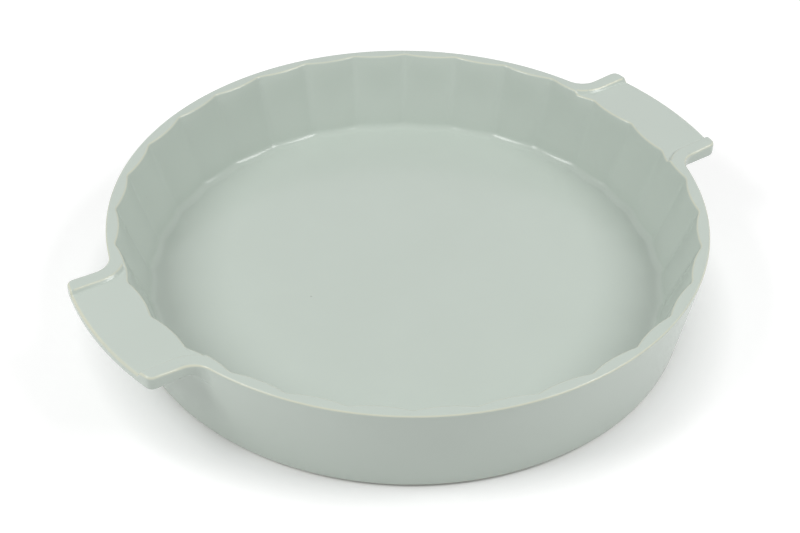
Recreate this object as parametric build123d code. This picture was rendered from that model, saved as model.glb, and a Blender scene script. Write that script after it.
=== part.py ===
from build123d import *
import os
from math import asin, atan, cos, pi, sin, sqrt

# A round stoneware pie dish: fluted inside, smooth outside, with two flat lug handles at the rim.
# Millimetres. +Z is up, +X points along the right handle, and the origin is the middle of the
# dish's footprint on the table.

# Dish as a whole
RIM_RADIUS = 150.0
RIM_HEIGHT = 53.3
FOOT_RADIUS = 140.2
TOP_EDGE_BEVEL = 0.6

# Inside: shallow flutes, each a lobe that bulges inwards between two narrow grooves
FLUTES = 32
RIM_GROOVE_RADIUS = 145.8
FLOOR_GROOVE_RADIUS = 131.4
FLUTE_DEPTH = 2.5
GROOVE_ROUND = 5.0
FLOOR_HEIGHT = 13.5
FLOOR_ROUND = 4.5
INNER_EDGE_ROUND = 1.6

# Underside: a shallow recess inside an unglazed foot ring
FLOOR_SLAB_RADIUS = 124.0
RECESS_HEIGHT = 3.0
FOOT_RING_OUTER = 138.2
FOOT_RING_INNER = 129.0
FOOT_RING_BEVEL = 0.6
GLAZE_LINE_HEIGHT = 0.8
HEEL_BEVEL = 0.8

# Handles: a plate that carries on from the rim, with a raised lip along both sides
HANDLE_RADIUS = 172.6
HANDLE_HALF_WIDTH = 42.0
HANDLE_THICKNESS = 6.8
HANDLE_CORNER_ROUND = 4.0
LIP_WIDTH = 9.0
ROOT_ROUND = 11.0
ROOT_SINK = 0.2
ROOT_HALF_WIDTH = 46.0
TRAY_DEPTH = 1.8
TRAY_SLOPE = 1.5
TRAY_EDGE_BEVEL = 1.2
UNDERSIDE_ROUND = 8.0
UNDERSIDE_SINK = 0.3
UNDERSIDE_EDGE_BEVEL = 1.3

# Worked out from the above
WALL_LEAN = (RIM_RADIUS - FOOT_RADIUS) / RIM_HEIGHT
INNER_LEAN = (RIM_GROOVE_RADIUS - FLOOR_GROOVE_RADIUS) / (RIM_HEIGHT - FLOOR_HEIGHT)
INNER_ANGLE = atan(INNER_LEAN)
HALF_FLUTE = pi / FLUTES
HANDLE_CEILING = RIM_HEIGHT - HANDLE_THICKNESS
ROOT_DROP = HANDLE_THICKNESS + UNDERSIDE_ROUND + 1.0
TRAY_FLOOR = RIM_HEIGHT - TRAY_DEPTH

# How far a cutting shape runs past what it cuts
OVER = 6.0


def wall_radius(height):
    """Outer radius of the straight, slightly flared wall."""
    return FOOT_RADIUS + WALL_LEAN * height


def polar(radius, angle):
    """A plan point from its radius and its angle in radians."""
    return (radius * cos(angle), radius * sin(angle))


def turned(points):
    """A solid of revolution from a closed (radius, height) outline."""
    return revolve(Plane.XZ * make_face(Polyline(*points, close=True)), Axis.Z)


def scalloped_face(groove_radius, height):
    """The inside outline at one height: lobes of one arc each, joined by rounded grooves."""
    lobes = []
    for flute in range(FLUTES):
        start = polar(groove_radius, 2 * flute * HALF_FLUTE)
        crown = polar(groove_radius - FLUTE_DEPTH, (2 * flute + 1) * HALF_FLUTE)
        end = polar(groove_radius, (2 * flute + 2) * HALF_FLUTE)
        lobes.append(ThreePointArc(start, crown, end))
    face = make_face(Curve() + lobes)
    face = fillet(face.vertices(), GROOVE_ROUND)
    return Pos(0, 0, height) * face


def well_sections():
    """Groove radius and height of each outline of the pie well, from the floor to the rim.

    Both rounds, at the floor and at the rim's inner edge, are followed in two steps.
    """
    floor_z = FLOOR_HEIGHT + FLOOR_ROUND
    floor_r = FLOOR_GROOVE_RADIUS + INNER_LEAN * FLOOR_ROUND - FLOOR_ROUND / cos(INNER_ANGLE)
    edge_z = RIM_HEIGHT - INNER_EDGE_ROUND
    edge_r = RIM_GROOVE_RADIUS - INNER_LEAN * INNER_EDGE_ROUND + INNER_EDGE_ROUND / cos(INNER_ANGLE)
    quarter = 0.5 * pi - INNER_ANGLE
    sections = []
    for turn in (0, 0.5 * quarter, quarter):
        sections.append((floor_r + FLOOR_ROUND * sin(turn), floor_z - FLOOR_ROUND * cos(turn)))
    for turn in (quarter, 0.5 * quarter, 0):
        sections.append((edge_r - INNER_EDGE_ROUND * sin(turn), edge_z + INNER_EDGE_ROUND * cos(turn)))
    return sections


def pie_well():
    """The space that the filling takes: straight flutes between a rounded corner and a rounded edge."""
    outlines = [scalloped_face(radius, height) for radius, height in well_sections()]
    return loft(outlines, ruled=True) + extrude(outlines[-1], OVER)


def grip_space():
    """All that lies outside the flared wall between the two ends of a handle, on both sides."""
    top = RIM_HEIGHT + OVER
    cone = turned([(0, -OVER), (wall_radius(-OVER), -OVER), (wall_radius(top), top), (0, top)])
    return Box(2 * (HANDLE_RADIUS + OVER), 2 * ROOT_HALF_WIDTH, 2 * top) - cone


def full_dish():
    """The dish before it is hollowed: flared wall, softened rim and heel, seat for the foot ring."""
    return turned([
        (0, RECESS_HEIGHT),
        (FOOT_RING_OUTER, RECESS_HEIGHT),
        (FOOT_RING_OUTER, GLAZE_LINE_HEIGHT),
        (wall_radius(GLAZE_LINE_HEIGHT) - HEEL_BEVEL, GLAZE_LINE_HEIGHT),
        (wall_radius(GLAZE_LINE_HEIGHT + HEEL_BEVEL), GLAZE_LINE_HEIGHT + HEEL_BEVEL),
        (wall_radius(RIM_HEIGHT - TOP_EDGE_BEVEL), RIM_HEIGHT - TOP_EDGE_BEVEL),
        (RIM_RADIUS - TOP_EDGE_BEVEL, RIM_HEIGHT),
        (0, RIM_HEIGHT),
    ])


def foot_ring():
    """The unglazed ring that the dish stands on, seated inside the heel."""
    return turned([
        (FOOT_RING_INNER, FOOT_RING_BEVEL),
        (FOOT_RING_INNER + FOOT_RING_BEVEL, 0),
        (FOOT_RING_OUTER - FOOT_RING_BEVEL, 0),
        (FOOT_RING_OUTER, FOOT_RING_BEVEL),
        (FOOT_RING_OUTER, RECESS_HEIGHT),
        (FOOT_RING_INNER, RECESS_HEIGHT),
    ])


def neck_face(height, inset, out):
    """Plan of a handle's neck at one height, inset from its sides, out to the plane x = out."""
    across = HANDLE_HALF_WIDTH + ROOT_ROUND
    reach = wall_radius(height) + ROOT_ROUND - ROOT_SINK
    centre_x = sqrt(reach ** 2 - across ** 2)
    radius = ROOT_ROUND + inset
    side = across - radius
    turn = asin(across / reach)
    to_start = polar(radius, turn)
    to_middle = polar(radius, 0.5 * (turn + 0.5 * pi))
    start = (centre_x - to_start[0], across - to_start[1])
    middle = (centre_x - to_middle[0], across - to_middle[1])
    face = make_face(Curve() + [
        ThreePointArc(start, middle, (centre_x, side)),
        Line((centre_x, side), (out, side)),
        Line((out, side), (out, -side)),
        Line((out, -side), (centre_x, -side)),
        ThreePointArc((centre_x, -side), (middle[0], -middle[1]), (start[0], -start[1])),
        Line((start[0], -start[1]), start),
    ])
    return Pos(0, 0, height) * face


def plate_face(height, inset):
    """Plan of a handle at one height, inset all round: an arc that follows the rim, corners rounded."""
    half_width = HANDLE_HALF_WIDTH - inset
    band = Rectangle(HANDLE_RADIUS, 2 * half_width, align=(Align.MIN, Align.CENTER))
    face = band & Circle(HANDLE_RADIUS - inset)
    corners = face.vertices().filter_by(lambda v: v.X > RIM_RADIUS)
    face = fillet(corners, HANDLE_CORNER_ROUND - inset)
    return Pos(0, 0, height) * face


def finger_space():
    """What lies under a handle: flat beneath the plate, then a hollow round down into the wall."""
    lean = asin(WALL_LEAN / sqrt(1 + WALL_LEAN ** 2))
    off_wall = UNDERSIDE_ROUND * (1 - sin(lean)) - UNDERSIDE_SINK
    flat_end = wall_radius(HANDLE_CEILING) + off_wall / cos(lean)
    centre_z = HANDLE_CEILING - UNDERSIDE_ROUND
    to_touch = polar(UNDERSIDE_ROUND, lean)
    to_middle = polar(UNDERSIDE_ROUND, 0.5 * (0.5 * pi + lean))
    touch = (flat_end - to_touch[0], centre_z + to_touch[1])
    middle = (flat_end - to_middle[0], centre_z + to_middle[1])
    inside = touch[0] - OVER
    low = RIM_HEIGHT - ROOT_DROP - OVER
    out = HANDLE_RADIUS + OVER
    section = make_face(Curve() + [
        Line((out, HANDLE_CEILING), (flat_end, HANDLE_CEILING)),
        ThreePointArc((flat_end, HANDLE_CEILING), middle, touch),
        Line(touch, (inside, touch[1])),
        Line((inside, touch[1]), (inside, low)),
        Line((inside, low), (out, low)),
        Line((out, low), (out, HANDLE_CEILING)),
    ])
    return revolve(Plane.XZ * section, Axis.Z)


def handle_blank():
    """The +X handle before its tray is cut, run on into the wall."""
    low = RIM_HEIGHT - ROOT_DROP
    neck_end = RIM_RADIUS + ROOT_ROUND
    top = [(RIM_HEIGHT - TOP_EDGE_BEVEL, 0), (RIM_HEIGHT, TOP_EDGE_BEVEL)]
    bottom = [(HANDLE_CEILING, UNDERSIDE_EDGE_BEVEL), (HANDLE_CEILING + UNDERSIDE_EDGE_BEVEL, 0)]
    neck = loft([neck_face(height, inset, neck_end) for height, inset in [(low, 0)] + top], ruled=True)
    plate = loft([plate_face(height, inset) for height, inset in bottom + top], ruled=True)
    beyond = Box(2 * (HANDLE_RADIUS - neck_end), 2 * RIM_RADIUS, 2 * RIM_HEIGHT)
    plate &= Pos(HANDLE_RADIUS, 0, RIM_HEIGHT) * beyond
    return (neck + plate) - finger_space()


def tray():
    """The shallow tray between a handle's lips: steep sides, open to the well, soft outer edge."""
    out = HANDLE_RADIUS + OVER
    low = neck_face(TRAY_FLOOR, LIP_WIDTH, out)
    high = neck_face(RIM_HEIGHT, LIP_WIDTH - TRAY_SLOPE, out)
    wedge = turned([
        (HANDLE_RADIUS - TRAY_EDGE_BEVEL, TRAY_FLOOR),
        (HANDLE_RADIUS, TRAY_FLOOR - TRAY_EDGE_BEVEL),
        (out, TRAY_FLOOR - TRAY_EDGE_BEVEL),
        (out, TRAY_FLOOR),
    ])
    wedge &= extrude(low, -OVER)
    return loft([low, high], ruled=True) + extrude(high, OVER) + wedge


def whole_dish():
    """Dish and handles as they come out of the mould."""
    blank = handle_blank()
    space = tray()
    dish = full_dish() + blank + mirror(blank, Plane.YZ)
    return dish - pie_well() - space - mirror(space, Plane.YZ)


def save(solid, name):
    """Writes one piece of the dish under its own name."""
    solid.label = name
    export_step(solid, "parts/" + name + ".step")


os.makedirs("parts", exist_ok=True)
dish = whole_dish()
bowl = dish - grip_space()
handles = (dish & grip_space()).solids().sort_by(Axis.X)
slab = extrude(Circle(FLOOR_SLAB_RADIUS), RIM_HEIGHT)
save(bowl & slab, "dish_floor")
save(bowl - slab, "fluted_wall")
save(handles[0], "left_handle")
save(handles[-1], "right_handle")
save(foot_ring(), "foot_ring")
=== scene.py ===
"""A round stoneware pie dish: fluted inside, smooth outside, two flat lug handles, sage satin glaze.

Shapes are worked out in millimetres, +Z up and +X along the right handle, and turned into metres
when a mesh is made. The lamps and the floor's lift are in metres.
"""

import bpy
import numpy as np
from mathutils import Matrix, Vector


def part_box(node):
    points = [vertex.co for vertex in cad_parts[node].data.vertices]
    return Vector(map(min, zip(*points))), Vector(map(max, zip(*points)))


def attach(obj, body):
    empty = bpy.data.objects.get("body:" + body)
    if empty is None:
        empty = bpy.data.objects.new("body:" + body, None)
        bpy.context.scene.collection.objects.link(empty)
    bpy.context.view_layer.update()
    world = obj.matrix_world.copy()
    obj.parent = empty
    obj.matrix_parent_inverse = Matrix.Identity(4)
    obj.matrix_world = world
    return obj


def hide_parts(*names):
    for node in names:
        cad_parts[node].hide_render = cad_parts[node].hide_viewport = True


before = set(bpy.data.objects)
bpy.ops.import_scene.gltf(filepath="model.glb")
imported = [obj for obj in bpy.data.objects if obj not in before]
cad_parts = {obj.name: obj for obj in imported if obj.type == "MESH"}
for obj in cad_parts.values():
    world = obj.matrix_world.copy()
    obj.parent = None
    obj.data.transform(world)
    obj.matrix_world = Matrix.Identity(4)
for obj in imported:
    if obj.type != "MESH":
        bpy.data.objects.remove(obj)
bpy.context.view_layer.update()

MM = 0.001

# Read from the frame; the glazed handles swell a little past the solid ones
FLOOR_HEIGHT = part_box("dish_floor")[1].z / MM
FLOOR_SLAB_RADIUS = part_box("dish_floor")[1].x / MM
RECESS_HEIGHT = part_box("dish_floor")[0].z / MM
RIM_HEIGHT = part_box("fluted_wall")[1].z / MM
GLAZE_LINE_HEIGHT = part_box("fluted_wall")[0].z / MM
FOOT_RING_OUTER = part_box("foot_ring")[1].x / MM
PLATE_SWELL = 0.2
HANDLE_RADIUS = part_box("right_handle")[1].x / MM + PLATE_SWELL

# Dish
RIM_RADIUS = 150.0
FOOT_RADIUS = 140.2
TOP_EDGE_ROUND = 1.0
HEEL_ROUND = 2.0
FOOT_RING_INNER = 129.0
FOOT_RING_ROUND = 0.6

# Flutes: full at the rim, flatter and with wider grooves towards the floor
FLUTES = 32
RIM_GROOVE_RADIUS = 145.8
FLOOR_GROOVE_RADIUS = 131.4
FLUTE_DEPTH = 2.5
FLUTE_LOW_SHARE = 0.6
FLUTE_FADE = (0.45, 1.0)
GROOVE_ROUND = 5.0
GROOVE_ROUND_LOW = 12.0
FLOOR_ROUND = 5.0
INNER_EDGE_ROUND = 1.6

# Handles: a flat plate with a sunk tray between two raised, crowned lips
HANDLE_HALF_WIDTH = 41.6
HANDLE_THICKNESS = 7.2
HANDLE_CORNER_ROUND = 4.0
LIP_EDGE_ROUND = 1.6
PLATE_EDGE_ROUND = 2.0
LIP_END = (31.5, 34.5)
LIP_RISE = 0.5
LIP_CROWN = 0.4
LIP_RISE_SPAN = (151.0, 167.0)
TRAY_DEPTH = 1.8
TRAY_SLOPE = (7.0, 9.3)
TRAY_FADE = 1.5
UNDERSIDE_ROUND = 7.6
UNDERSIDE_EDGE_ROUND = 2.6

# Roots, where the handles flow into the wall
ROOT_ROUND = 11.0
ROOT_EDGE_ROUND = 5.0
ROOT_EDGE_SPAN = 0.5
ROOT_ROUND_SHARE = 0.7
ROOT_MARGIN = np.radians(0.7)
SEAT_INSET = 0.5

# How thin the glaze lies over the edges, as a share of the thinnest. On the inner edge this cream is also a
# painted highlight; on the tray's step it is a painted highlight at the top and painted shade at the foot.
INNER_EDGE_WEAR_AND_HIGHLIGHT = 0.8
HEEL_WEAR = 0.7
STEP_HIGHLIGHT_AND_SHADE = 0.9

# Stations along half a handle's outline. The outer edge's two stretches meet short of the lip, and
# the seam marks say how far across the corner, the side and the root start on the seam.
OUTER_EDGE, CORNER, SIDE, ROOT, RIM = range(5)
EDGE_STATIONS = 30
CORNER_STATIONS = 14
SIDE_STATIONS = 22
ROOT_STATIONS = 36
RIM_STATIONS = 6
EDGE_STRETCH = 29.0
SEAM_MARKS = (34.0, 37.5, 41.0)

# Rows of points along a section
TOP_ROWS = 26
EDGE_ROWS = 8
SIDE_ROWS = 4
UNDER_ROWS = 22
FLOOR_EDGE_ROWS = 3
CORNER_ROWS = 12
FLUTE_ROWS = 7
INNER_EDGE_ROWS = 7
LAND_ROWS = 9
SEAT_ROWS = 4
OUTSIDE_ROWS = 8
HEEL_ROWS = 6
FLOOR_RINGS = 9
FOOT_EDGE_ROWS = 6

# Columns round the dish, drawn in to the grooves by the crowding, which is from 0 to 1
FLUTE_COLUMNS = 24
FLUTE_CROWDING = 0.6
COLUMN_GAP = np.radians(0.1)
FOOT_COLUMNS = 480

# Working limits: halvings of a height's range, tries at the inner edge's place, the least length in
# millimetres, how far apart welded points may be, and the angle past which an edge looks sharp
HALVINGS = 40
EDGE_TRIES = 8
LEAST = 1e-6
WELD = 1e-4
SHARP_ANGLE = np.radians(40.0)

# Sage glaze. A scale is per metre and a pair is a range, but a bump is its strength and its depth in
# metres. EDGE_BREAK, like GRIT_GRAINS below, carries its first pair to its second.
GLAZE_PALE = (0.550, 0.615, 0.560, 1.0)
GLAZE_DEEP = (0.538, 0.602, 0.547, 1.0)
# Darker green of pooled glaze, also used as painted shade in the floor corner and at the step's foot
GLAZE_POOLED_SHADE = (0.470, 0.545, 0.480, 1.0)
GLAZE_CREAM = (0.710, 0.705, 0.540, 1.0)
PINHOLE = (0.180, 0.170, 0.140, 1.0)
GLAZE_ROUGHNESS = (0.18, 0.22)
GLAZE_IOR = 1.45
GLAZE_MOTTLE_SCALE = 22.0
GLAZE_GRAIN_SCALE = 900.0
EDGE_THIN = (0.15, 0.9)
EDGE_BREAK = (0.25, 0.6, 0.55, 1.0)
EDGE_CREAM_SHARE = 0.7
POOL_AND_SHADE_SHARE = 0.35
PINHOLE_CELLS = 45.0
PINHOLE_REACH = (0.012, 0.03)
PINHOLE_PICK = 0.45
PINHOLE_SHARE = 0.75
PINHOLE_BUMP = (0.05, 0.0002)

# Bare clay
CLAY_PALE = (0.640, 0.560, 0.440, 1.0)
CLAY_DARK = (0.560, 0.480, 0.370, 1.0)
CLAY_GRIT = (0.380, 0.310, 0.230, 1.0)
CLAY_ROUGHNESS = 0.85
CLAY_MOTTLE_SCALE = 60.0
CLAY_GRAIN_SCALE = 1500.0
GRIT_GRAINS = (0.6, 0.75, 0.0, 0.5)
CLAY_BUMP = (0.5, 0.0003)

# Fired grain, shared by both: detail and roughness of its two noises, and the range that they use
MOTTLE_NOISE = (3.0, 0.55)
GRAIN_NOISE = (4.0, 0.6)
NOISE_RANGE = (0.3, 0.7)

# Floor and surroundings
WHITE = (1.0, 1.0, 1.0, 1.0)
FLOOR_GREY = (0.86, 0.86, 0.86, 1.0)
FLOOR_HALF = 6.0
# The table's painted glow: least by the foot, most further out, where it whitens the dish's shadow
FLOOR_LIFT_LEAST = 0.05
FLOOR_LIFT = 0.34
FLOOR_LIFT_SPAN = (0.142, 0.170)
FAR_LIFT = 0.36
FAR_LIFT_SPAN = (0.4, 1.6)
WORLD_LIGHT = 0.37

# Softboxes: place to the camera's right, away from it and up, side length, and watts
LAMPS = [
    ("left_softbox", (-0.95, -0.42, 1.05), 0.60, 9.2),
    ("right_softbox", (0.97, -0.22, 1.10), 0.60, 8.8),
]
LAMP_AIM = 0.03

# Camera
CAMERA_TURN = np.radians(34.97)
CAMERA_RISE = np.radians(38.71)
CAMERA_ROLL = np.radians(1.04)
CAMERA_DISTANCE = 948.3
AIM_RIGHT = -3.6
AIM_AWAY = 20.8
LENS = 81.0
SENSOR = 36.0
CLIP_START = 0.01

# Leans of the outside and of the flutes, and half of one flute's turn
WALL_LEAN = (RIM_RADIUS - FOOT_RADIUS) / RIM_HEIGHT
WALL_ANGLE = np.arctan(WALL_LEAN)
INNER_LEAN = (RIM_GROOVE_RADIUS - FLOOR_GROOVE_RADIUS) / (RIM_HEIGHT - FLOOR_HEIGHT)
INNER_ANGLE = np.arctan(INNER_LEAN)
HALF_FLUTE = np.pi / FLUTES

# Centres of a handle's corner and of its root's hollow round, and the angles where they end
CORNER_ACROSS = HANDLE_HALF_WIDTH - HANDLE_CORNER_ROUND
CORNER_OUT = np.sqrt((HANDLE_RADIUS - HANDLE_CORNER_ROUND) ** 2 - CORNER_ACROSS ** 2)
ROOT_ACROSS = HANDLE_HALF_WIDTH + ROOT_ROUND
ROOT_OUT = np.sqrt((RIM_RADIUS + ROOT_ROUND) ** 2 - ROOT_ACROSS ** 2)
ROOT_TURN = np.arcsin(ROOT_ACROSS / (RIM_RADIUS + ROOT_ROUND))
HANDLE_END = ROOT_TURN + ROOT_MARGIN


def wall_radius(z):
    """Radius of the straight flared outside at height z."""
    return FOOT_RADIUS + WALL_LEAN * z


# Rim rounding in the upright section: a circle that touches the land and the leaning outside
RIM_ARC_RADIUS = wall_radius(RIM_HEIGHT - TOP_EDGE_ROUND) - TOP_EDGE_ROUND / np.cos(WALL_ANGLE)
RIM_ARC_TURN = 0.5 * np.pi + WALL_ANGLE

# Underside of a handle in the upright section: flat, then a hollow round that touches the wall
HANDLE_CEILING = RIM_HEIGHT - HANDLE_THICKNESS
HOLLOW_OFF = UNDERSIDE_ROUND * (1.0 - np.sin(WALL_ANGLE))
HOLLOW_CENTRE = wall_radius(HANDLE_CEILING) + HOLLOW_OFF / np.cos(WALL_ANGLE)
HOLLOW_LOW = HANDLE_CEILING - HOLLOW_OFF

# Hidden seat of a handle on the ring: from the seam down to here, just inside the wall, then out to it
SEAT_RADIUS = wall_radius(HOLLOW_LOW) - SEAT_INSET
SEAT_FOOT = HOLLOW_LOW + SEAT_INSET


def ramp(x, low, high):
    """0 below low, 1 above high, and the S-curve 3t^2 - 2t^3 between them."""
    t = np.clip((x - low) / (high - low), 0.0, 1.0)
    return t * t * (3.0 - 2.0 * t)


def steps(low, high, count):
    """count evenly spaced values that start at low and stop one short of high."""
    return low + (high - low) * (np.arange(count) / count)


def flute_radius(theta, z):
    """Radius of the fluted inside at angle theta and height z.

    Between two grooves the outline is one arc that bulges inwards. With u the angle from the middle
    of the lobe, an arc of radius R round a point at distance c is met at
    c cos u - sqrt(R^2 - c^2 sin^2 u). Near a groove it is a small circle that touches both lobes.
    Low down the lobes are flatter and the small circle wider; an S-curve of the height joins the two.
    """
    groove = FLOOR_GROOVE_RADIUS + INNER_LEAN * (z - FLOOR_HEIGHT)
    rise = (z - FLOOR_HEIGHT) / (RIM_HEIGHT - FLOOR_HEIGHT)
    full = ramp(rise, *FLUTE_FADE)
    depth = FLUTE_DEPTH * (FLUTE_LOW_SHARE + (1.0 - FLUTE_LOW_SHARE) * full)
    soft = GROOVE_ROUND_LOW + (GROOVE_ROUND - GROOVE_ROUND_LOW) * full
    half_chord = groove * np.sin(HALF_FLUTE)
    sag = groove * np.cos(HALF_FLUTE) - (groove - depth)
    arc = (half_chord ** 2 + sag ** 2) / (2.0 * sag)
    centre = groove - depth + arc
    reach = arc + soft
    small = centre * np.cos(HALF_FLUTE) - np.sqrt(reach ** 2 - (centre * np.sin(HALF_FLUTE)) ** 2)
    share = arc / reach
    touch_x = centre + (small * np.cos(HALF_FLUTE) - centre) * share
    touch_y = small * np.sin(HALF_FLUTE) * share
    touch = np.arctan2(touch_y, touch_x)
    u = np.abs(np.mod(theta, 2.0 * HALF_FLUTE) - HALF_FLUTE)
    lobe = centre * np.cos(u) - np.sqrt(np.maximum(arc ** 2 - (centre * np.sin(u)) ** 2, 0.0))
    v = HALF_FLUTE - u
    hollow = small * np.cos(v) + np.sqrt(np.maximum(soft ** 2 - (small * np.sin(v)) ** 2, 0.0))
    return np.where(u < touch, lobe, hollow)


def side_distance(x, y):
    """Distance inwards from a handle's side: from the line |y| = half width, or from the root's arc."""
    along = np.minimum(np.abs(x) - ROOT_OUT, 0.0)
    return np.hypot(along, ROOT_ACROSS - np.abs(y)) - ROOT_ROUND


def tray_fade(x, y):
    """1 along a handle, falling to 0 at the end of its root as an S-curve of the angle."""
    angle = np.degrees(np.arctan2(np.abs(y), np.abs(x)))
    return ramp(np.degrees(ROOT_TURN) - angle, 0.0, TRAY_FADE)


def top_height(x, y):
    """Height of the rim land and of the handles' tops, which dip to a tray between two lips.

    The dip is an S-curve of the distance from the handle's side, and it fades out at the root's end.
    A lip rises outwards as an S-curve of |x|, and its crown is half a sine wave across it.
    """
    inward = side_distance(x, y)
    dip = ramp(inward, *TRAY_SLOPE)
    crown = LIP_CROWN * np.sin(np.pi * np.clip(inward / TRAY_SLOPE[0], 0.0, 1.0))
    lip = (LIP_RISE + crown) * ramp(np.abs(x), *LIP_RISE_SPAN) * (1.0 - dip)
    return RIM_HEIGHT + lip - TRAY_DEPTH * dip * tray_fade(x, y)


def underside_height(radius):
    """Height of a handle's underside: flat, then down a quarter of a circle towards the wall.

    With run the distance past the circle's centre, the height is that of the centre plus
    sqrt(R^2 - run^2).
    """
    run = np.clip(HOLLOW_CENTRE - radius, 0.0, UNDERSIDE_ROUND * np.cos(WALL_ANGLE))
    return HANDLE_CEILING - UNDERSIDE_ROUND + np.sqrt(UNDERSIDE_ROUND ** 2 - run ** 2)


def worn_edge(t):
    """How thin the glaze lies over a rounded edge: sin^2, nothing at its ends and most at its middle."""
    return np.sin(np.pi * np.clip(t, 0.0, 1.0)) ** 2


def step_highlight_and_shade(x, y):
    """Painted highlight and shade on the step down to a tray, over the glaze's thinning and pooling: one
    wave, cream at its top as a painted highlight, darker at its foot as painted shade.
    """
    t = (side_distance(x, y) - TRAY_SLOPE[0]) / (TRAY_SLOPE[1] - TRAY_SLOPE[0])
    return STEP_HIGHLIGHT_AND_SHADE * np.sin(2.0 * np.pi * np.clip(t, 0.0, 1.0)) * tray_fade(x, y)


def welded(points, faces):
    """Merges points that coincide, and drops the faces that this flattens to a line.

    Gives the points that stay, the quads, and the quads that have become triangles.
    """
    key = np.round(points / WELD).astype(np.int64)
    _, first, back = np.unique(key, axis=0, return_index=True, return_inverse=True)
    faces = back.reshape(-1)[faces]
    keep = faces != np.roll(faces, -1, axis=1)
    sides = keep.sum(1)
    quads = faces[sides == 4]
    quads = quads[(quads[:, 0] != quads[:, 2]) & (quads[:, 1] != quads[:, 3])]
    tris = faces[sides == 3][keep[sides == 3]].reshape(-1, 3)
    return first, quads, tris


def grid_faces(columns, rows, around=True, along=True):
    """Quads of a grid of columns by rows, closed round either way where asked."""
    i = np.arange(columns if around else columns - 1)
    j = np.arange(rows if along else rows - 1)
    i, j = (a.reshape(-1) for a in np.meshgrid(i, j, indexing="ij"))
    i2, j2 = (i + 1) % columns, (j + 1) % rows
    return np.stack([i * rows + j, i2 * rows + j, i2 * rows + j2, i * rows + j2], 1)


def make_piece(name, stands_for, points, thin, faces):
    """Turns a grid of points and its quads into a closed smooth piece that rides on the dish.

    thin says how thin the glaze lies at each point: 1 at a worn edge, below 0 where it pools. It also
    carries painted highlight along the inner edge and the step's top, and painted shade in the floor corner
    and at the step's foot.
    """
    thin = np.broadcast_to(thin, points.shape[:-1]).reshape(-1)
    points = points.reshape(-1, 3)
    first, quads, tris = welded(points, faces)
    loops = np.concatenate([quads.reshape(-1), tris.reshape(-1)])
    starts = np.concatenate([np.arange(len(quads)) * 4, len(quads) * 4 + np.arange(len(tris)) * 3])
    mesh = bpy.data.meshes.new(name)
    mesh.vertices.add(len(first))
    mesh.vertices.foreach_set("co", (points[first] * MM).astype(np.float32).reshape(-1))
    mesh.loops.add(len(loops))
    mesh.loops.foreach_set("vertex_index", loops.astype(np.int32))
    mesh.polygons.add(len(starts))
    mesh.polygons.foreach_set("loop_start", starts.astype(np.int32))
    mesh.update(calc_edges=True)
    mesh.validate()
    shade = mesh.attributes.new("glaze_wear_and_painted_light", "FLOAT", "POINT")
    shade.data.foreach_set("value", thin[first].astype(np.float32))
    mesh.shade_smooth()
    mesh.set_sharp_from_angle(angle=SHARP_ANGLE)
    piece = bpy.data.objects.new(name, mesh)
    bpy.context.scene.collection.objects.link(piece)
    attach(piece, "root")
    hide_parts(stands_for)
    return piece


class Section:
    """Rows of points, one point a station or column, with how thin the glaze lies at each, and the painted
    highlight and shade that ride with it.
    """

    def __init__(self):
        self.rows = []
        self.thin = []

    def add(self, x, y, z, worn=0.0):
        """Adds a row. A plain number holds for the whole row."""
        x, y, z, worn = np.broadcast_arrays(x, y, z, worn)
        self.rows.append(np.stack([x, y, z], -1))
        self.thin.append(worn)

    def grids(self):
        """The grid of points and the grid of how thin the glaze lies, with its painted highlight and shade,
        a column first.
        """
        return np.stack(self.rows, 1), np.stack(self.thin, 1)


def handle_stations():
    """Stations along half a handle's outline, from its middle to the end of its root.

    Gives for each its kind, its own parameter there, and the angle on the seam that it starts from.
    """
    last_across = CORNER_ACROSS * HANDLE_RADIUS / (HANDLE_RADIUS - HANDLE_CORNER_ROUND)
    edge = np.concatenate([
        steps(0.0, EDGE_STRETCH, EDGE_STATIONS),
        steps(EDGE_STRETCH, last_across, EDGE_STATIONS),
    ])
    corner = steps(np.arctan2(CORNER_ACROSS, CORNER_OUT), 0.5 * np.pi, CORNER_STATIONS)
    side = steps(0.0, 1.0, SIDE_STATIONS)
    root = steps(0.0, 1.0, ROOT_STATIONS)
    rim = np.linspace(0.0, 1.0, RIM_STATIONS)
    parts = [edge, corner, side, root, rim]
    kinds = np.repeat([OUTER_EDGE, CORNER, SIDE, ROOT, RIM], [len(part) for part in parts])
    corner_seam, side_seam, root_seam = np.arcsin(np.array(SEAM_MARKS) / RIM_ARC_RADIUS)
    seam = np.concatenate([
        np.arcsin(edge / last_across * np.sin(corner_seam)),
        steps(corner_seam, side_seam, CORNER_STATIONS),
        steps(side_seam, root_seam, SIDE_STATIONS),
        steps(root_seam, ROOT_TURN, ROOT_STATIONS),
        ROOT_TURN + (HANDLE_END - ROOT_TURN) * rim,
    ])
    return kinds, np.concatenate(parts), seam


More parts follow.
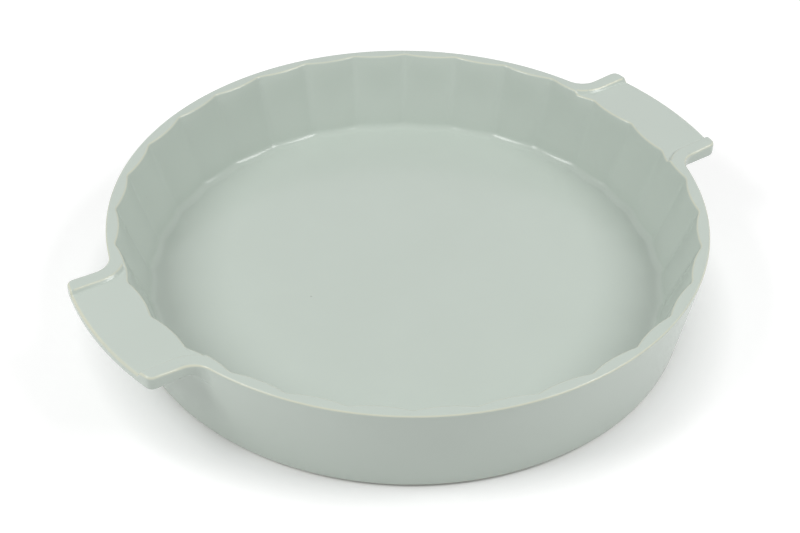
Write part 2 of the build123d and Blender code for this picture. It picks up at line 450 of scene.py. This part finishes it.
def handle_outline(kinds, own, z):
    """Plan point and outward normal of each station at height z.

    The outer edge is a circle round the dish's axis, the corner a quarter circle, the side a
    straight line, the root a hollow arc that touches the side and the wall, and the rim the wall's
    own circle.
    """
    reach = wall_radius(z) + ROOT_ROUND
    centre_x = np.sqrt(reach ** 2 - ROOT_ACROSS ** 2)
    root_end = np.arcsin(ROOT_ACROSS / reach)

    edge_y = np.where(kinds == OUTER_EDGE, own, 0.0)
    edge_x = np.sqrt(HANDLE_RADIUS ** 2 - edge_y ** 2)
    corner = np.where(kinds == CORNER, own, 0.0)
    corner_x = CORNER_OUT + HANDLE_CORNER_ROUND * np.cos(corner)
    corner_y = CORNER_ACROSS + HANDLE_CORNER_ROUND * np.sin(corner)
    side_x = CORNER_OUT + (centre_x - CORNER_OUT) * own
    side_y = np.full_like(side_x, HANDLE_HALF_WIDTH)
    root = -0.5 * np.pi - own * (0.5 * np.pi - root_end)
    root_x = centre_x + ROOT_ROUND * np.cos(root)
    root_y = ROOT_ACROSS + ROOT_ROUND * np.sin(root)
    rim = root_end + (HANDLE_END - root_end) * np.where(kinds == RIM, own, 0.0)
    rim_x = wall_radius(z) * np.cos(rim)
    rim_y = wall_radius(z) * np.sin(rim)

    flat = np.zeros_like(side_x)
    x = np.choose(kinds, [edge_x, corner_x, side_x, root_x, rim_x])
    y = np.choose(kinds, [edge_y, corner_y, side_y, root_y, rim_y])
    nx = np.choose(kinds, [edge_x / HANDLE_RADIUS, np.cos(corner), flat, -np.cos(root), np.cos(rim)])
    ny = np.choose(kinds, [edge_y / HANDLE_RADIUS, np.sin(corner), flat + 1.0, -np.sin(root), np.sin(rim)])
    return x, y, nx, ny


def side_lean(kinds, own):
    """How far each station's side leans: upright on the handle, by an S-curve to the wall's angle."""
    lean = np.where(kinds == ROOT, WALL_ANGLE * ramp(own, 0.0, 1.0), 0.0)
    return np.where(kinds == RIM, WALL_ANGLE, lean)


def top_edge_round(kinds, own):
    """Radius of the top edge's round: broad on the plate, narrower on the lips and round the root."""
    plate = PLATE_EDGE_ROUND + (LIP_EDGE_ROUND - PLATE_EDGE_ROUND) * ramp(own, *LIP_END)
    root = LIP_EDGE_ROUND + (TOP_EDGE_ROUND - LIP_EDGE_ROUND) * ramp(own, 0.0, 1.0)
    return np.choose(kinds, [plate, LIP_EDGE_ROUND, LIP_EDGE_ROUND, root, TOP_EDGE_ROUND])


def crisp_corner_height(kinds, own):
    """Height where each station's side meets the underside, by halving the range that holds it."""
    below = np.full_like(own, HOLLOW_LOW)
    above = np.full_like(own, HANDLE_CEILING)
    for _ in range(HALVINGS):
        height = 0.5 * (below + above)
        x, y, _, _ = handle_outline(kinds, own, height)
        inside = underside_height(np.hypot(x, y)) > height
        below = np.where(inside, height, below)
        above = np.where(inside, above, height)
    return np.where(kinds == RIM, HOLLOW_LOW, height)


def low_edge_round(kinds, own, off_wall):
    """Size of the lower edge's round, given how far the crisp corner stands off the wall.

    Round the root it is the soft minimum (a^-4 + b^-4)^(-1/4) of a size a that grows along the root
    and a share b of the distance to the wall, so it never cuts into the wall.
    """
    grown = UNDERSIDE_EDGE_ROUND + (ROOT_EDGE_ROUND - UNDERSIDE_EDGE_ROUND) * ramp(own, 0.0, ROOT_EDGE_SPAN)
    spare = np.maximum(ROOT_ROUND_SHARE * off_wall, LEAST)
    root = (grown ** -4.0 + spare ** -4.0) ** -0.25
    return np.where(kinds == RIM, 0.0, np.where(kinds == ROOT, root, UNDERSIDE_EDGE_ROUND))


def handle_section():
    """Half a handle's skin: one closed section a station, and how thin the glaze lies, with painted
    highlight and shade on the tray's step.

    Row by row: the top from the seam outwards, the top edge's round, the side, the lower edge's
    round, the underside in to the wall, and the hidden seat back up to the seam. The lower edge's
    round is (1 - t)^2 A + 2 t (1 - t) B + t^2 C from the side at A to the underside at C, where B is
    the crisp corner of the two, so it dies away where the underside runs into the wall.
    """
    kinds, own, seam = handle_stations()
    lean = side_lean(kinds, own)
    edge_round = top_edge_round(kinds, own)
    section = Section()

    # Top
    seam_x, seam_y = RIM_ARC_RADIUS * np.cos(seam), RIM_ARC_RADIUS * np.sin(seam)
    x, y, nx, ny = handle_outline(kinds, own, np.full_like(own, RIM_HEIGHT))
    inset = edge_round * (1.0 / np.cos(lean) + np.tan(lean))
    edge_x, edge_y = x - nx * inset, y - ny * inset
    edge_top = top_height(edge_x, edge_y)
    for t in steps(0.0, 1.0, TOP_ROWS):
        x, y = seam_x + (edge_x - seam_x) * t, seam_y + (edge_y - seam_y) * t
        # The tray's step gets a painted highlight at its top and painted shade at its foot
        section.add(x, y, top_height(x, y), step_highlight_and_shade(x, y))

    # Top edge
    for t in np.linspace(0.0, 1.0, EDGE_ROWS + 1):
        turn = t * (0.5 * np.pi + lean)
        side_top = edge_top - edge_round * (1.0 - np.cos(turn))
        x, y, nx, ny = handle_outline(kinds, own, side_top)
        inset = edge_round * (1.0 / np.cos(lean) + np.cos(turn) * np.tan(lean) - np.sin(turn))
        section.add(x - nx * inset, y - ny * inset, side_top, worn_edge(t))

    # Side, down to where the lower edge's round starts
    corner_z = crisp_corner_height(kinds, own)
    corner_x, corner_y, nx, ny = handle_outline(kinds, own, corner_z)
    low_round = low_edge_round(kinds, own, np.hypot(corner_x, corner_y) - wall_radius(corner_z))
    foot_z = corner_z + low_round
    foot_x, foot_y, _, _ = handle_outline(kinds, own, foot_z)
    for t in steps(0.0, 1.0, SIDE_ROWS)[1:]:
        z = side_top + (foot_z - side_top) * t
        x, y, _, _ = handle_outline(kinds, own, z)
        section.add(x, y, z)

    # Lower edge
    under_x, under_y = corner_x - nx * low_round, corner_y - ny * low_round
    under_z = np.where(kinds == RIM, HOLLOW_LOW, underside_height(np.hypot(under_x, under_y)))
    for t in steps(0.0, 1.0, EDGE_ROWS):
        before, middle, after = (1.0 - t) ** 2, 2.0 * t * (1.0 - t), t ** 2
        x = before * foot_x + middle * corner_x + after * under_x
        y = before * foot_y + middle * corner_y + after * under_y
        section.add(x, y, before * foot_z + middle * corner_z + after * under_z)

    # Underside, with its rows closer together towards the wall
    wall_x = np.where(kinds == RIM, under_x, wall_radius(HOLLOW_LOW) * np.cos(seam))
    wall_y = np.where(kinds == RIM, under_y, wall_radius(HOLLOW_LOW) * np.sin(seam))
    for t in steps(0.0, 1.0, UNDER_ROWS):
        share = t * (2.0 - t)
        x, y = under_x + (wall_x - under_x) * share, under_y + (wall_y - under_y) * share
        z = np.where(kinds == RIM, HOLLOW_LOW, underside_height(np.hypot(x, y)))
        section.add(x, y, z)

    # Hidden seat
    section.add(wall_x, wall_y, HOLLOW_LOW)
    section.add(SEAT_RADIUS * np.cos(seam), SEAT_RADIUS * np.sin(seam), SEAT_FOOT)
    return section.grids()


def end_faces(loop, turned):
    """Closes a section's loop with a fan of triangles from its last point, each a quad with it twice."""
    seat = np.full(len(loop) - 2, loop[-1])
    quads = np.stack([loop[:-2], loop[1:-1], seat, seat], 1)
    return quads[:, ::-1] if turned else quads


def make_handle(name, stands_for, side):
    """A whole handle: the half mirrored in y, and turned to -X for the left one."""
    half, half_thin = handle_section()
    points = np.concatenate([half[:0:-1] * np.array([1.0, -1.0, 1.0]), half])
    thin = np.concatenate([half_thin[:0:-1], half_thin])
    points = points * np.array([side, side, 1.0])
    columns, rows = thin.shape
    first_end = np.arange(rows)
    faces = np.concatenate([
        grid_faces(columns, rows, around=False)[:, ::-1],
        end_faces(first_end, True),
        end_faces(first_end + (columns - 1) * rows, False),
    ])
    return make_piece(name, stands_for, points, thin, faces)


def wall_columns():
    """Angles all round, denser at the grooves and at the handles, and which ones a handle cuts.

    Across a lobe, with t from -1 to 1, the angles are a mix of t and sin(t pi / 2). The angle at a
    handle's end comes twice, whole and cut, which makes the end face of the seat.
    """
    seam = handle_stations()[2]
    near = np.concatenate([-seam[:0:-1], seam])
    t = steps(-1.0, 1.0, FLUTE_COLUMNS)
    across = HALF_FLUTE * ((1.0 - FLUTE_CROWDING) * t + FLUTE_CROWDING * np.sin(0.5 * np.pi * t))
    middles = (2 * np.arange(FLUTES) + 1) * HALF_FLUTE
    free = np.sort(np.mod((middles[:, None] + across[None, :]).reshape(-1), 2.0 * np.pi))
    upper = free[(free > HANDLE_END + COLUMN_GAP) & (free < np.pi - HANDLE_END - COLUMN_GAP)]
    upper = np.concatenate([[HANDLE_END], upper, [np.pi - HANDLE_END]])
    theta = np.concatenate([near, upper, near + np.pi, upper + np.pi])
    cut = np.repeat([True, False, True, False], [len(near), len(upper)] * 2)
    return theta, cut


def wall_section(theta, cut):
    """The dish's ring: one closed section an angle, and how thin the glaze lies, with painted highlight and
    shade on the inner edge, the step and the floor corner.

    From the floor's edge: the floor corner's round, up the flutes, the inner edge's round, the land,
    the outer edge's round, down the outside, round the heel, over the foot ring and back up. Each
    round is an arc of a circle that touches the faces on both its sides. Under a handle the outer
    edge and the top of the outside give way to the hidden seat.
    """
    section = Section()
    cos, sin = np.cos(theta), np.sin(theta)

    def ring(radius, z, worn=0.0):
        """Adds a row right round the dish."""
        section.add(radius * cos, radius * sin, z, worn)

    # Floor corner; the glaze pools in it, and it is painted darker there as shade
    corner_z = FLOOR_HEIGHT + FLOOR_ROUND
    corner_r = flute_radius(theta, corner_z) - FLOOR_ROUND / np.cos(INNER_ANGLE)
    for t in steps(0.0, 1.0, FLOOR_EDGE_ROWS):
        ring(FLOOR_SLAB_RADIUS + (corner_r - FLOOR_SLAB_RADIUS) * t, FLOOR_HEIGHT)
    for turn in np.linspace(0.0, 0.5 * np.pi - INNER_ANGLE, CORNER_ROWS + 1):
        radius = corner_r + FLOOR_ROUND * np.sin(turn)
        ring(radius, corner_z - FLOOR_ROUND * np.cos(turn), -np.sin(2.0 * turn))

    # Inner edge's centre, which depends on the land's height, and that on the edge's place
    edge_r = np.full_like(theta, RIM_GROOVE_RADIUS)
    for _ in range(EDGE_TRIES):
        edge_z = top_height(edge_r * cos, edge_r * sin) - INNER_EDGE_ROUND
        edge_r = flute_radius(theta, edge_z) + INNER_EDGE_ROUND / np.cos(INNER_ANGLE)

    # Flutes
    wall_low = corner_z - FLOOR_ROUND * np.sin(INNER_ANGLE)
    wall_high = edge_z + INNER_EDGE_ROUND * np.sin(INNER_ANGLE)
    for t in steps(0.0, 1.0, FLUTE_ROWS)[1:]:
        z = wall_low + (wall_high - wall_low) * t
        ring(flute_radius(theta, z), z)

    # Inner edge and land
    for t in np.linspace(0.0, 1.0, INNER_EDGE_ROWS + 1):
        turn = INNER_ANGLE + (0.5 * np.pi - INNER_ANGLE) * t
        radius = edge_r - INNER_EDGE_ROUND * np.cos(turn)
        # The inner edge's cream is partly thin glaze and partly a painted highlight
        ring(radius, edge_z + INNER_EDGE_ROUND * np.sin(turn), INNER_EDGE_WEAR_AND_HIGHLIGHT * worn_edge(t))
    for t in steps(0.0, 1.0, LAND_ROWS)[1:]:
        radius = edge_r + (RIM_ARC_RADIUS - edge_r) * t
        x, y = radius * cos, radius * sin
        # Near the handles the land carries the step's painted highlight at its top and painted shade at its
        # foot
        ring(radius, top_height(x, y), step_highlight_and_shade(x, y))

    # Outer edge, or the seat's slope
    land_end = top_height(RIM_ARC_RADIUS * cos, RIM_ARC_RADIUS * sin)
    for t in np.linspace(0.0, 1.0, EDGE_ROWS + 1):
        turn = t * RIM_ARC_TURN
        radius = RIM_ARC_RADIUS + TOP_EDGE_ROUND * np.sin(turn)
        side_top = RIM_HEIGHT - TOP_EDGE_ROUND * (1.0 - np.cos(turn))
        seat_r = RIM_ARC_RADIUS + (SEAT_RADIUS - RIM_ARC_RADIUS) * t
        seat_z = land_end + (SEAT_FOOT - land_end) * t
        worn = np.where(cut, 0.0, worn_edge(t))
        ring(np.where(cut, seat_r, radius), np.where(cut, seat_z, side_top), worn)

    # Top of the outside, or the seat's way out to the wall
    for t in steps(0.0, 1.0, SEAT_ROWS)[1:]:
        z = side_top + (HOLLOW_LOW - side_top) * t
        seat_r = SEAT_RADIUS + (wall_radius(HOLLOW_LOW) - SEAT_RADIUS) * t
        seat_z = SEAT_FOOT + (HOLLOW_LOW - SEAT_FOOT) * t
        ring(np.where(cut, seat_r, wall_radius(z)), np.where(cut, seat_z, z))

    # Outside and heel
    heel_z = GLAZE_LINE_HEIGHT + HEEL_ROUND
    heel_r = wall_radius(heel_z) - HEEL_ROUND / np.cos(WALL_ANGLE)
    heel_top = heel_z - HEEL_ROUND * np.sin(WALL_ANGLE)
    for t in steps(0.0, 1.0, OUTSIDE_ROWS):
        z = HOLLOW_LOW + (heel_top - HOLLOW_LOW) * t
        ring(wall_radius(z), z)
    for t in np.linspace(0.0, 1.0, HEEL_ROWS):
        turn = WALL_ANGLE + (0.5 * np.pi - WALL_ANGLE) * t
        radius = heel_r + HEEL_ROUND * np.cos(turn)
        ring(radius, heel_z - HEEL_ROUND * np.sin(turn), HEEL_WEAR * worn_edge(t))

    # Over the foot ring to the floor slab
    ring(FOOT_RING_OUTER, GLAZE_LINE_HEIGHT)
    ring(FOOT_RING_OUTER, RECESS_HEIGHT)
    ring(FLOOR_SLAB_RADIUS, RECESS_HEIGHT)
    return section.grids()


def turned(theta, radius, z):
    """A profile turned round the axis: the point (r cos a, r sin a, z) for every angle a."""
    section = Section()
    for r, height in zip(radius, z):
        section.add(r * np.cos(theta), r * np.sin(theta), height)
    return section.grids()[0]


def make_wall():
    """The ring with the flutes, the land and the outside."""
    points, thin = wall_section(*wall_columns())
    faces = grid_faces(*thin.shape)[:, ::-1]
    return make_piece("fluted_wall_glazed", "fluted_wall", points, thin, faces)


def make_floor():
    """The floor slab: rings from the middle to the corner on top, and back again underneath."""
    out = np.linspace(0.0, 1.0, FLOOR_RINGS)
    back = np.linspace(1.0, 0.0, FLOOR_RINGS)
    radius = FLOOR_SLAB_RADIUS * np.concatenate([out, back])
    z = np.repeat([FLOOR_HEIGHT, RECESS_HEIGHT], FLOOR_RINGS)
    points = turned(wall_columns()[0], radius, z)
    faces = grid_faces(*points.shape[:2], along=False)[:, ::-1]
    return make_piece("dish_floor_glazed", "dish_floor", points, 0.0, faces)


def make_foot_ring():
    """The bare ring that the dish stands on: a flat with two edges, each a quarter circle."""
    turn = np.linspace(0.0, 0.5 * np.pi, FOOT_EDGE_ROWS)
    low = FOOT_RING_ROUND * (1.0 - np.cos(turn))
    back = FOOT_RING_ROUND * (1.0 - np.sin(turn))
    radius = np.concatenate([
        FOOT_RING_INNER + back[::-1],
        FOOT_RING_OUTER - back,
        [FOOT_RING_OUTER, FOOT_RING_INNER],
    ])
    z = np.concatenate([low[::-1], low, [RECESS_HEIGHT, RECESS_HEIGHT]])
    points = turned(np.linspace(0.0, 2.0 * np.pi, FOOT_COLUMNS, endpoint=False), radius, z)
    faces = grid_faces(*points.shape[:2])
    return make_piece("foot_ring_bare", "foot_ring", points, 0.0, faces)


class Nodes:
    """A material or a shared effect being built: adds nodes and joins them by name."""

    def __init__(self, tree):
        self.tree = tree

    def add(self, kind, **settings):
        """Adds a node with its plain settings."""
        node = self.tree.nodes.new(kind)
        for key, value in settings.items():
            setattr(node, key, value)
        return node

    def put(self, socket, value):
        """Sets a socket to a plain value, or joins it to another node's socket."""
        if isinstance(value, bpy.types.NodeSocket):
            self.tree.links.new(value, socket)
        else:
            socket.default_value = value

    def place(self):
        """Where a point lies on its piece, in metres."""
        return self.add("ShaderNodeTexCoord").outputs["Object"]

    def noise(self, where, scale, detail, roughness):
        """Cloudy noise from 0 to 1."""
        node = self.add("ShaderNodeTexNoise")
        self.put(node.inputs["Vector"], where)
        self.put(node.inputs["Scale"], scale)
        self.put(node.inputs["Detail"], detail)
        self.put(node.inputs["Roughness"], roughness)
        return node.outputs["Fac"]

    def math(self, operation, a, b):
        """Works out one operation on two numbers."""
        node = self.add("ShaderNodeMath", operation=operation)
        self.put(node.inputs[0], a)
        self.put(node.inputs[1], b)
        return node.outputs[0]

    def spread(self, value, low, high, to_low=0.0, to_high=1.0):
        """Carries a value from one range to another, held at both ends."""
        node = self.add("ShaderNodeMapRange")
        self.put(node.inputs["Value"], value)
        self.put(node.inputs["From Min"], low)
        self.put(node.inputs["From Max"], high)
        self.put(node.inputs["To Min"], to_low)
        self.put(node.inputs["To Max"], to_high)
        return node.outputs["Result"]

    def mix(self, share, first, second):
        """Mixes two colours. Its colour sockets are numbers 6 and 7 going in and 2 coming out."""
        node = self.add("ShaderNodeMix", data_type="RGBA")
        self.put(node.inputs["Factor"], share)
        self.put(node.inputs[6], first)
        self.put(node.inputs[7], second)
        return node.outputs[2]

    def bump(self, height, strength, distance):
        """Tilts the surface's normal by the slope of a height."""
        node = self.add("ShaderNodeBump")
        node.inputs["Strength"].default_value = strength
        node.inputs["Distance"].default_value = distance
        self.put(node.inputs["Height"], height)
        return node.outputs["Normal"]


def new_material(name):
    """A material, its node builder and its shader."""
    material = bpy.data.materials.new(name)
    material.use_nodes = True
    n = Nodes(material.node_tree)
    return material, n, n.tree.nodes["Principled BSDF"]


def fired_grain():
    """Shared effect: the faint mottle and the grain of fired clay, with or without its glaze."""
    group = bpy.data.node_groups.new("fired_grain", "ShaderNodeTree")
    for name in ("Mottle Scale", "Grain Scale"):
        group.interface.new_socket(name, in_out="INPUT", socket_type="NodeSocketFloat")
    for name in ("Mottle", "Grain"):
        group.interface.new_socket(name, in_out="OUTPUT", socket_type="NodeSocketFloat")
    n = Nodes(group)
    given = n.add("NodeGroupInput")
    result = n.add("NodeGroupOutput")
    where = n.place()
    n.put(result.inputs["Mottle"], n.noise(where, given.outputs["Mottle Scale"], *MOTTLE_NOISE))
    n.put(result.inputs["Grain"], n.noise(where, given.outputs["Grain Scale"], *GRAIN_NOISE))
    return group


def grain_of(n, group, mottle_scale, grain_scale):
    """Places the fired grain in a material with its own scales, and gives its mottle and its grain."""
    node = n.add("ShaderNodeGroup", node_tree=group)
    node.inputs["Mottle Scale"].default_value = mottle_scale
    node.inputs["Grain Scale"].default_value = grain_scale
    return node.outputs["Mottle"], node.outputs["Grain"]


def pinholes(n):
    """1 in a few small pits and 0 elsewhere: round the centres of some cells of a cell pattern."""
    cells = n.add("ShaderNodeTexVoronoi")
    n.put(cells.inputs["Vector"], n.place())
    cells.inputs["Scale"].default_value = PINHOLE_CELLS
    pick = n.add("ShaderNodeSeparateColor")
    n.put(pick.inputs[0], cells.outputs["Color"])
    near = n.spread(cells.outputs["Distance"], *PINHOLE_REACH, 1.0, 0.0)
    return n.math("MULTIPLY", near, n.math("GREATER_THAN", pick.outputs[0], PINHOLE_PICK))


def sage_glaze(group):
    """Satin sage glaze: pale and mottled, cream where it runs thin over edges, darker where it pools, a few
    pinholes. The cream on the inner edge and the step's top is also a painted highlight, and the darkening
    in the floor corner and at the step's foot is also painted shade.
    """
    material, n, shader = new_material("sage_glaze")
    mottle, grain = grain_of(n, group, GLAZE_MOTTLE_SCALE, GLAZE_GRAIN_SCALE)
    # How thin the glaze lies, with painted highlight and painted shade carried in it
    thin = n.add("ShaderNodeAttribute", attribute_name="glaze_wear_and_painted_light").outputs["Fac"]
    base = n.mix(n.spread(mottle, *NOISE_RANGE), GLAZE_DEEP, GLAZE_PALE)
    thin_cream_and_highlight = n.math("MULTIPLY", n.spread(thin, *EDGE_THIN), n.spread(mottle, *EDGE_BREAK))
    # Cream where the glaze runs thin, which on the inner edge and the step's top is also a painted
    # highlight
    base = n.mix(n.math("MULTIPLY", thin_cream_and_highlight, EDGE_CREAM_SHARE), base, GLAZE_CREAM)
    # Darker where the glaze pools, which is also painted shade in the floor corner and at the step's foot
    base = n.mix(n.spread(thin, -1.0, 0.0, POOL_AND_SHADE_SHARE, 0.0), base, GLAZE_POOLED_SHADE)
    hole = pinholes(n)
    base = n.mix(n.math("MULTIPLY", hole, PINHOLE_SHARE), base, PINHOLE)
    n.put(shader.inputs["Base Color"], base)
    n.put(shader.inputs["Roughness"], n.spread(grain, *NOISE_RANGE, *GLAZE_ROUGHNESS))
    shader.inputs["IOR"].default_value = GLAZE_IOR
    n.put(shader.inputs["Normal"], n.bump(n.math("SUBTRACT", 1.0, hole), *PINHOLE_BUMP))
    return material


def bare_clay(group):
    """The unglazed foot: buff, dry and finely sandy."""
    material, n, shader = new_material("bare_clay")
    mottle, grain = grain_of(n, group, CLAY_MOTTLE_SCALE, CLAY_GRAIN_SCALE)
    tone = n.mix(n.spread(mottle, *NOISE_RANGE), CLAY_DARK, CLAY_PALE)
    tone = n.mix(n.spread(grain, *GRIT_GRAINS), tone, CLAY_GRIT)
    n.put(shader.inputs["Base Color"], tone)
    shader.inputs["Roughness"].default_value = CLAY_ROUGHNESS
    n.put(shader.inputs["Normal"], n.bump(grain, *CLAY_BUMP))
    return material


def seen_straight(n):
    """1 for what the camera sees, also in a reflection or through glass, and 0 for light."""
    path = n.add("ShaderNodeLightPath")
    seen = n.math("MAXIMUM", path.outputs["Is Camera Ray"], path.outputs["Is Glossy Ray"])
    return n.math("MAXIMUM", seen, path.outputs["Is Transmission Ray"])


def pale_floor():
    """The table: pale grey, keeping the dish's shadow by the foot, with a painted glow that covers its
    shadow with white further out.

    The lift is a painted glow added only to what is seen. It grows with the distance from the dish's axis
    over a near span and then over a far one.
    """
    h = FLOOR_HALF
    plane = bpy.data.meshes.new("floor")
    plane.from_pydata([(-h, -h, 0), (h, -h, 0), (h, h, 0), (-h, h, 0)], [], [(0, 1, 2, 3)])
    floor = bpy.data.objects.new("floor", plane)
    bpy.context.scene.collection.objects.link(floor)
    material, n, shader = new_material("pale_floor")
    shader.inputs["Base Color"].default_value = FLOOR_GREY
    shader.inputs["Roughness"].default_value = 1.0
    shader.inputs["Specular IOR Level"].default_value = 0.0
    shader.inputs["Emission Color"].default_value = WHITE
    reach = n.add("ShaderNodeVectorMath", operation="LENGTH")
    n.put(reach.inputs[0], n.place())
    reach = reach.outputs["Value"]
    # Painted glow on the table: weakest by the foot, and whitening the dish's shadow further out
    lift = n.spread(reach, *FLOOR_LIFT_SPAN, FLOOR_LIFT_LEAST, FLOOR_LIFT)
    lift = n.math("ADD", lift, n.spread(reach, *FAR_LIFT_SPAN, 0.0, FAR_LIFT))
    n.put(shader.inputs["Emission Strength"], n.math("MULTIPLY", seen_straight(n), lift))
    plane.materials.append(material)


def white_surroundings():
    """White where it is seen, and plain soft light on the dish from all round."""
    world = bpy.data.worlds.new("studio")
    bpy.context.scene.world = world
    world.use_nodes = True
    n = Nodes(world.node_tree)
    back = n.tree.nodes["Background"]
    back.inputs["Color"].default_value = WHITE
    n.put(back.inputs["Strength"], n.spread(seen_straight(n), 0.0, 1.0, WORLD_LIGHT, 1.0))


def camera_plan():
    """Level directions to the camera's right and away from it, and straight up."""
    right = Vector((np.cos(CAMERA_TURN), -np.sin(CAMERA_TURN), 0.0))
    away = Vector((np.sin(CAMERA_TURN), np.cos(CAMERA_TURN), 0.0))
    return right, away, Vector((0.0, 0.0, 1.0))


def softboxes():
    """A square softbox at each side, turned towards a point just above the table's middle."""
    right, away, up = camera_plan()
    for name, place, size, watts in LAMPS:
        lamp = bpy.data.lights.new(name, "AREA")
        lamp.shape = "SQUARE"
        lamp.size = size
        lamp.energy = watts
        spot = right * place[0] + away * place[1] + up * place[2]
        ahead = (LAMP_AIM * up - spot).normalized()
        side = ahead.cross(away).normalized()
        turn = Matrix((side, side.cross(ahead), -ahead)).transposed().to_4x4()
        bulb = bpy.data.objects.new(name, lamp)
        bulb.matrix_world = Matrix.Translation(spot) @ turn
        bpy.context.scene.collection.objects.link(bulb)


def place_camera():
    """The photograph's view: across the dish with the right handle at the back right.

    right, away and up are the camera's plan directions; the camera stands at its distance from the
    aim point, raised by its rise angle, and is rolled a little round its own line of sight.
    """
    right, away, up = camera_plan()
    aim = right * AIM_RIGHT + away * AIM_AWAY
    back, high = CAMERA_DISTANCE * np.cos(CAMERA_RISE), CAMERA_DISTANCE * np.sin(CAMERA_RISE)
    spot = aim - away * back + up * high
    forward = (aim - spot).normalized()
    rise = right.cross(forward)
    side = right * np.cos(CAMERA_ROLL) + rise * np.sin(CAMERA_ROLL)
    top = rise * np.cos(CAMERA_ROLL) - right * np.sin(CAMERA_ROLL)
    turn = Matrix((side, top, -forward)).transposed().to_4x4()
    lens = bpy.data.cameras.new("camera")
    lens.lens = LENS
    lens.sensor_width = SENSOR
    lens.clip_start = CLIP_START
    camera = bpy.data.objects.new("camera", lens)
    camera.matrix_world = Matrix.Translation(spot * MM) @ turn
    bpy.context.scene.collection.objects.link(camera)
    bpy.context.scene.camera = camera


grain = fired_grain()
glaze = sage_glaze(grain)
clay = bare_clay(grain)
pieces = [
    (make_wall(), glaze),
    (make_floor(), glaze),
    (make_handle("right_handle_glazed", "right_handle", 1.0), glaze),
    (make_handle("left_handle_glazed", "left_handle", -1.0), glaze),
    (make_foot_ring(), clay),
]
for piece, material in pieces:
    piece.data.materials.append(material)

pale_floor()
white_surroundings()
softboxes()
place_camera()
bpy.context.scene.view_settings.view_transform = "Standard"
